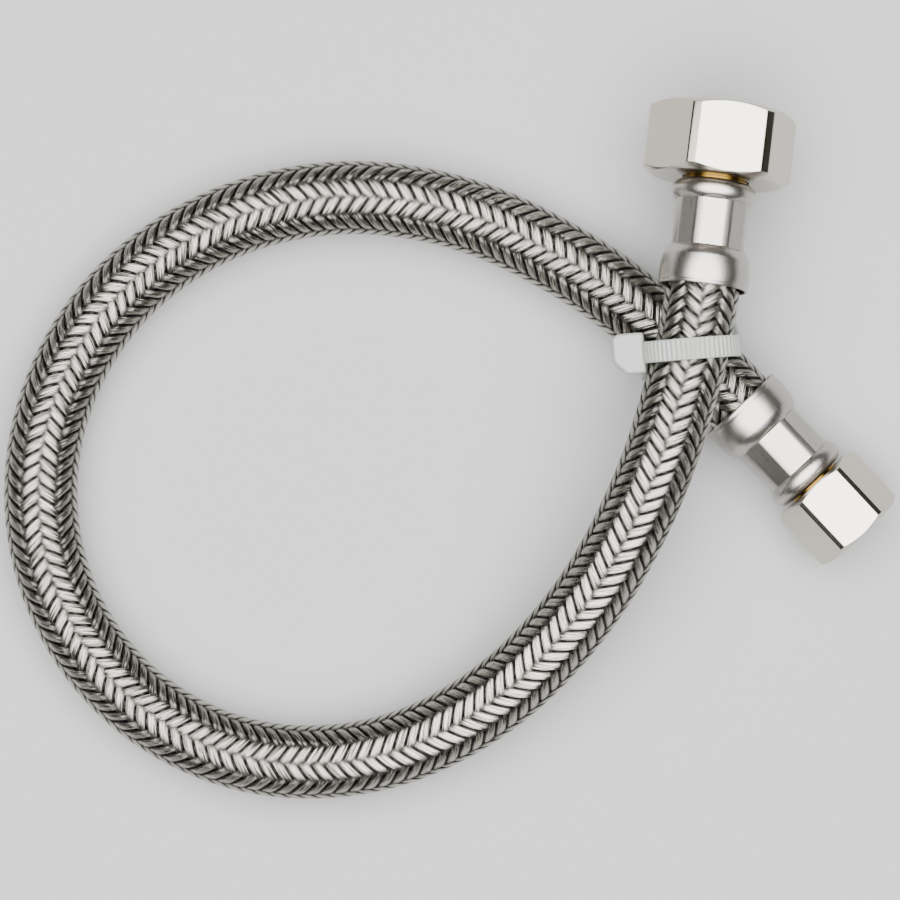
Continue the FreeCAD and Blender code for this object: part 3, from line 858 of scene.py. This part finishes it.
def liner_tree(material):
    """A round rubber tube along a centreline, closed at both ends."""
    tree, given = new_tree("rubber_tube", (("Radius", "Float"), ("Sides", "Int")))
    line = add(tree, "GeometryNodeMeshToCurve", {"Mesh": given["Geometry"]})
    line = add(tree, "GeometryNodeSetCurveNormal", {"Curve": line}, mode="Z_UP")
    circle = add(tree, "GeometryNodeCurvePrimitiveCircle",
                 {"Resolution": given["Sides"], "Radius": given["Radius"]})
    tube = add(tree, "GeometryNodeCurveToMesh",
               {"Curve": line, "Profile Curve": circle, "Fill Caps": True})
    return end_tree(tree, tube, material)


def strap_tree(material):
    """A flat strap round a loop, with rounded edges and fine ribs across its outer face."""
    tree, given = new_tree("ribbed_strap", (
        ("Corners", "Int"), ("Rings", "Int"), ("Width", "Float"), ("Thickness", "Float"),
        ("Rib", "Float"), ("Rib pitch", "Float")))
    squareness, outer_face, ribbed_width = 0.32, 0.6, 0.86
    line = add(tree, "GeometryNodeMeshToCurve", {"Mesh": given["Geometry"]})
    whole = add(tree, "GeometryNodeCurveLength", {"Curve": line})
    tube = add(tree, "GeometryNodeMeshCylinder",
               {"Vertices": given["Corners"], "Side Segments": given["Rings"], "Radius": 1.0,
                "Depth": 1.0})
    spread = add(tree, "ShaderNodeSeparateXYZ", {0: add(tree, "GeometryNodeInputPosition")})
    ring = add(tree, ADD, (spread.outputs["Z"], 0.5))
    along = add(tree, MULTIPLY, (ring, whole))

    # The round section is pushed out towards a rectangle.
    parts = []
    for axis in ("X", "Y"):
        size = add(tree, ABSOLUTE, (spread.outputs[axis],))
        size = add(tree, POWER, (size, squareness))
        side = add(tree, SIGN, (spread.outputs[axis],))
        parts.append(add(tree, MULTIPLY, (size, side)))
    half_width = add(tree, MULTIPLY, (given["Width"], 0.5))
    half_thick = add(tree, MULTIPLY, (given["Thickness"], 0.5))
    across = add(tree, MULTIPLY, (parts[0], half_width))
    out = add(tree, MULTIPLY, (parts[1], half_thick))

    # Ribs stand on the middle of the outer face.
    outer = add(tree, GREATER_THAN, (parts[1], outer_face))
    edge = add(tree, ABSOLUTE, (parts[0],))
    inside = add(tree, LESS_THAN, (edge, ribbed_width))
    wave = along
    for step, *values in ((DIVIDE, given["Rib pitch"]), (MULTIPLY, 2 * math.pi), (COSINE,),
                          (MULTIPLY_ADD, 0.5, -0.5), (MULTIPLY, outer), (MULTIPLY, inside)):
        wave = add(tree, step, (wave, *values))
    out = add(tree, MULTIPLY_ADD, (wave, given["Rib"], out))

    over = add(tree, "GeometryNodeInputNamedAttribute", {"Name": "over"}, data_type="FLOAT_VECTOR")
    sample = add(tree, "GeometryNodeSampleCurve",
                 {"Curves": line, "Value": over.outputs["Attribute"], "Length": along},
                 mode="LENGTH", data_type="FLOAT_VECTOR")
    wide = add(tree, VECTOR, {0: sample.outputs["Value"]}, operation="NORMALIZE")
    outward_way = add(tree, VECTOR, {0: wide, 1: sample.outputs["Tangent"]}, operation="CROSS_PRODUCT")
    wide = add(tree, VECTOR, {0: wide, "Scale": across}, operation="SCALE")
    outward_way = add(tree, VECTOR, {0: outward_way, "Scale": out}, operation="SCALE")
    where = add(tree, VECTOR, {0: wide, 1: outward_way}, operation="ADD")
    where = add(tree, VECTOR, {0: where, 1: sample.outputs["Position"]}, operation="ADD")
    strap = add(tree, "GeometryNodeSetPosition", {"Geometry": tube.outputs["Mesh"], "Position": where})
    return end_tree(tree, strap, material)


class SUPPLYLINE_OT_hose(bpy.types.Operator):
    """Lays the hose: its rubber liner, and the plaits of steel wire woven over it"""
    bl_idname = "supplyline.hose"
    bl_label = "Hose"

    def execute(self, context):
        line = context.scene.supply_line
        hose = line.hose
        path = route_points()
        ends = [end + (end - inner).normalized() * hose.overrun
                for end, inner in ((path[0], path[1]), (path[-1], path[-2]))]
        host = [ends[0], *path, ends[1]]

        rubber = matt_black_rubber(line.finishes.rubber)
        liner = finish_mesh("rubber_liner", outward(grow(liner_tree(rubber), host, {
            "Radius": hose.liner / 2, "Sides": 40})), rubber, "root", ["inner_tube"])

        steel = bright_drawn_stainless_wire(line.finishes.wire)
        tree = plait_tree(steel)
        for first in range(0, 2 * hose.plaits, PLAITS_IN_A_PIECE):
            mesh = grow(tree, host, {
                "First plait": first, "Plaits": PLAITS_IN_A_PIECE, "Plaits each way": hose.plaits,
                "Wires": hose.wires, "Rings": BRAID_RINGS, "Wire diameter": hose.wire,
                "Radius": (hose.outside - hose.wire) / 2 - hose.lift, "Lead": hose.lead,
                "Lift": hose.lift, "Crown": hose.crown, "Unevenness": hose.jitter, "Phase": hose.phase})
            finish_mesh(f"braid_plaits_{first // PLAITS_IN_A_PIECE + 1}", outward(mesh),
                                      steel, "root", ["braid_sleeve"])
        return {"FINISHED"}


class SUPPLYLINE_OT_ferrules(bpy.types.Operator):
    """Presses the two stainless ferrules"""
    bl_idname = "supplyline.ferrules"
    bl_label = "Ferrules"

    def execute(self, context):
        line = context.scene.supply_line
        steel = satin_pressed_stainless(line.finishes.pressed)
        for name, sizes, place in fittings():
            mesh = ring_mesh(name, even_angles(FERRULE_STEPS),
                             lambda turn: ferrule_outline(turn, sizes, line.ferrule), place)
            finish_mesh(f"{name}_ferrule_pressed", mesh, steel, "root", [f"{name}_ferrule"])
        return {"FINISHED"}


class SUPPLYLINE_OT_inserts(bpy.types.Operator):
    """Turns the two brass inserts"""
    bl_idname = "supplyline.inserts"
    bl_label = "Inserts"

    def execute(self, context):
        line = context.scene.supply_line
        brass = turned_brass(line.finishes.brass)
        full, wall = line.ferrule.full, line.ferrule.wall
        edge, groove = 0.15 * MM, 0.5 * MM
        for name, sizes, place in fittings():
            at = stations(sizes)
            groove_r = sizes.neck_r - groove
            head_r = sizes.minor_r - 0.17 * MM
            tail_r = line.hose.liner / 2 - 1.8 * MM
            corners = [(sizes.bore_r, 2 * MM, edge), (tail_r, 2 * MM, edge)]
            for barb in range(4):
                top = (5 + 3 * barb) * MM
                corners += [(tail_r + 0.35 * MM, top, 0.05 * MM), (tail_r, top + 0.1 * MM, 0.05 * MM)]
            corners += [
                (tail_r, full - wall - 0.7 * MM, 0), (sizes.neck_r, full - wall - 0.7 * MM, edge),
                (sizes.neck_r, full - wall - 0.05 * MM, 0), (groove_r, full - wall - 0.05 * MM, 0),
                (groove_r, full + 0.05 * MM, 0), (sizes.neck_r, full + 0.05 * MM, edge),
                (sizes.neck_r, at["head_start"], edge), (head_r, at["head_start"], edge),
                (head_r, at["head_end"], edge * 2), (sizes.bore_r, at["head_end"], edge * 2),
            ]
            mesh = ring_mesh(name, even_angles(ROUND_STEPS), lambda turn: rounded(corners), place)
            finish_mesh(f"{name}_insert_turned", mesh, brass, "root", [f"{name}_insert"])
        return {"FINISHED"}


class SUPPLYLINE_OT_seals(bpy.types.Operator):
    """Moulds the flat washer and the cone seal"""
    bl_idname = "supplyline.seals"
    bl_label = "Seals"

    def execute(self, context):
        line = context.scene.supply_line
        rubber = matt_black_rubber(line.finishes.rubber)
        edge = 0.2 * MM
        for name, sizes, place in fittings():
            at = stations(sizes)
            outer_r = sizes.minor_r + sizes.thread_depth - 0.2 * MM
            corners = [(sizes.seal_bore_r, at["seal_start"], edge), (outer_r, at["seal_start"], edge),
                       (outer_r, at["seal_end"], edge)]
            tip = at["seal_end"] + sizes.cone_length
            if sizes.cone_length:
                corners += [(sizes.cone_r, at["seal_end"], edge),
                            (sizes.cone_r - sizes.cone_taper, tip, edge)]
            corners.append((sizes.seal_bore_r, tip, edge))
            mesh = ring_mesh(name, even_angles(ROUND_STEPS), lambda turn: rounded(corners), place)
            finish_mesh(f"{name}_seal_moulded", mesh, rubber, f"{name}_seal", [f"{name}_seal"])
        return {"FINISHED"}


class SUPPLYLINE_OT_nuts(bpy.types.Operator):
    """Cuts the two hexagon nuts, with their threads"""
    bl_idname = "supplyline.nuts"
    bl_label = "Nuts"

    def execute(self, context):
        line = context.scene.supply_line
        nickel = bright_nickel_plate(line.finishes.nickel)
        for name, sizes, place in fittings():
            at = stations(sizes)
            mesh = ring_mesh(name, nut_angles(sizes), lambda turn: nut_outline(turn, sizes, at), place)
            finish_mesh(f"{name}_nut_cut", mesh, nickel, f"{name}_nut", [f"{name}_nut"])
        return {"FINISHED"}


def crossing(tie):
    """Where the tie holds the upper run over the lower one: that point, and the lower run's height."""
    upper = [Vector(point) for point in ROUTE[UPPER_RUN:UPPER_RUN + 2]]
    lower = [Vector(point) for point in ROUTE[LOWER_RUN:LOWER_RUN + 2]]
    along = upper[1] - upper[0]
    across = lower[1] - lower[0]
    gap = lower[0] - upper[0]
    share = (gap.x * across.y - gap.y * across.x) / (along.x * across.y - along.y * across.x)
    over = upper[0] + along * share + Vector((0, tie.shift, 0))
    reach = (over.x - lower[0].x) / across.x
    return over, lower[0].z + across.z * reach


def over_at(centre, turn, x, y, height):
    """A point x and y from a centre, turned about it in plan, at a height."""
    return Vector((centre.x + x * math.cos(turn) - y * math.sin(turn),
                   centre.y + x * math.sin(turn) + y * math.cos(turn), height))


def strap_loop(tie, hose_r):
    """Middle of the strap's thickness all the way round, and the strap's own direction across."""
    over, under_z = crossing(tie)
    rise = hose_r + tie.gap
    points, directions = [], []
    spans = ((over.z, hose_r + tie.top_spread, 0), (under_z, hose_r + tie.bottom_spread, 180))
    for centre_z, spread, first in spans:
        for k in range(HALF_LOOP_STEPS + 1):
            turn = math.radians(first + 180 * k / HALF_LOOP_STEPS)
            normal = Vector((math.cos(turn) / spread, math.sin(turn) / rise)).normalized()
            spot = spread * math.cos(turn) + normal.x * tie.thickness / 2
            height = centre_z + rise * math.sin(turn) + normal.y * tie.thickness / 2
            share = min(max((height - under_z) / (over.z - under_z), 0), 1)
            plan = tie.bottom_angle + (tie.top_angle - tie.bottom_angle) * share
            points.append(over_at(over, plan, spot, 0, height))
            directions.append(Vector((-math.sin(plan), math.cos(plan), 0)))
    # The loop starts and ends in the middle of its left side, inside the head.
    order = [*range(HALF_LOOP_STEPS, len(points)), *range(HALF_LOOP_STEPS + 1)]
    return [points[k] for k in order], [directions[k] for k in order]


def tie_head(tie, hose_r):
    """The tie's head: a block with one corner cut well back, and the strap's slot in its foot."""
    over, _ = crossing(tie)
    inner = hose_r + tie.top_spread + tie.thickness / 2
    outer = inner + tie.thickness / 2 + tie.head_depth
    half, chamfer, cut_back = tie.head_width / 2, 0.9 * MM, 2.4 * MM
    foot = over.z - tie.head_drop - tie.head_height / 2
    outline = [(-inner, -half), (-inner, half), (-outer + chamfer, half), (-outer, half - chamfer),
               (-outer, cut_back - half), (cut_back - outer, -half)]
    slot_x, slot_half = -inner - 1.4 * MM, tie.width / 2 + 0.2 * MM
    slot = [(slot_x, -slot_half), (slot_x, slot_half), (slot_x - 1.5 * MM, slot_half),
            (slot_x - 1.5 * MM, -slot_half)]
    made = []
    for flat, low, high in ((outline, foot, foot + tie.head_height),
                            (slot, foot - 1 * MM, foot + 1.5 * MM)):
        count = len(flat)
        verts = [over_at(over, tie.top_angle, x, y, z) for z in (low, high) for x, y in flat]
        faces = [tuple(range(count)), tuple(range(2 * count - 1, count - 1, -1))]
        faces += [(k, k + count, (k + 1) % count + count, (k + 1) % count) for k in range(count)]
        mesh = bpy.data.meshes.new("tie_head")
        mesh.from_pydata(verts, [], faces)
        made.append(new_object("tie_head", outward(mesh)))
    block, cutter = made
    bevel = block.modifiers.new("edges", "BEVEL")
    bevel.width, bevel.segments, bevel.limit_method = 0.75 * MM, 5, "ANGLE"
    cut = block.modifiers.new("slot", "BOOLEAN")
    cut.object, cut.operation, cut.solver = cutter, "DIFFERENCE", "EXACT"
    mesh = evaluated_mesh(block)
    bpy.data.objects.remove(block)
    bpy.data.objects.remove(cutter)
    return mesh


class SUPPLYLINE_OT_cable_tie(bpy.types.Operator):
    """Draws the nylon cable tie round the crossing"""
    bl_idname = "supplyline.cable_tie"
    bl_label = "Cable tie"

    def execute(self, context):
        line = context.scene.supply_line
        tie, hose_r = line.tie, line.hose.outside / 2
        nylon = natural_nylon(line.finishes.nylon)
        points, directions = strap_loop(tie, hose_r)
        strap = grow(strap_tree(nylon), points, {
            "Corners": STRAP_CORNERS, "Rings": STRAP_RINGS, "Width": tie.width,
            "Thickness": tie.thickness, "Rib": tie.rib, "Rib pitch": tie.rib_pitch},
            ("over", directions))
        finish_mesh("cable_tie_strap", outward(strap), nylon, "root", ["cable_tie"])
        finish_mesh("cable_tie_head", outward(tie_head(tie, hose_r)), nylon, "root", ["cable_tie"])
        return {"FINISHED"}


class SUPPLYLINE_PT_panel(bpy.types.Panel):
    """Lists the steps that build the supply line, and its main sizes"""
    bl_label = "Supply line"
    bl_idname = "SUPPLYLINE_PT_panel"
    bl_space_type = "VIEW_3D"
    bl_region_type = "UI"
    bl_category = "Supply Line"

    def draw(self, context):
        for operator in OPERATORS:
            self.layout.operator(operator.bl_idname)
        for group in SupplyLine.__annotations__:
            settings = getattr(context.scene.supply_line, group)
            box = self.layout.box()
            box.label(text=group.capitalize())
            for label in type(settings).__annotations__:
                box.prop(settings, label)


OPERATORS = (
    SUPPLYLINE_OT_stage,
    SUPPLYLINE_OT_hose,
    SUPPLYLINE_OT_ferrules,
    SUPPLYLINE_OT_inserts,
    SUPPLYLINE_OT_seals,
    SUPPLYLINE_OT_nuts,
    SUPPLYLINE_OT_cable_tie,
)
CLASSES = (HoseSizes, LargeFitting, SmallFitting, FerruleSizes, TieSizes, Finishes, StageSettings,
           SupplyLine, *OPERATORS, SUPPLYLINE_PT_panel)


def register():
    for cls in CLASSES:
        bpy.utils.register_class(cls)
    bpy.types.Scene.supply_line = PointerProperty(type=SupplyLine)


def unregister():
    del bpy.types.Scene.supply_line
    for cls in reversed(CLASSES):
        bpy.utils.unregister_class(cls)


def main():
    register()
    for operator in OPERATORS:
        group, name = operator.bl_idname.split(".")
        getattr(getattr(bpy.ops, group), name)()


if __name__ == "__main__":
    main()
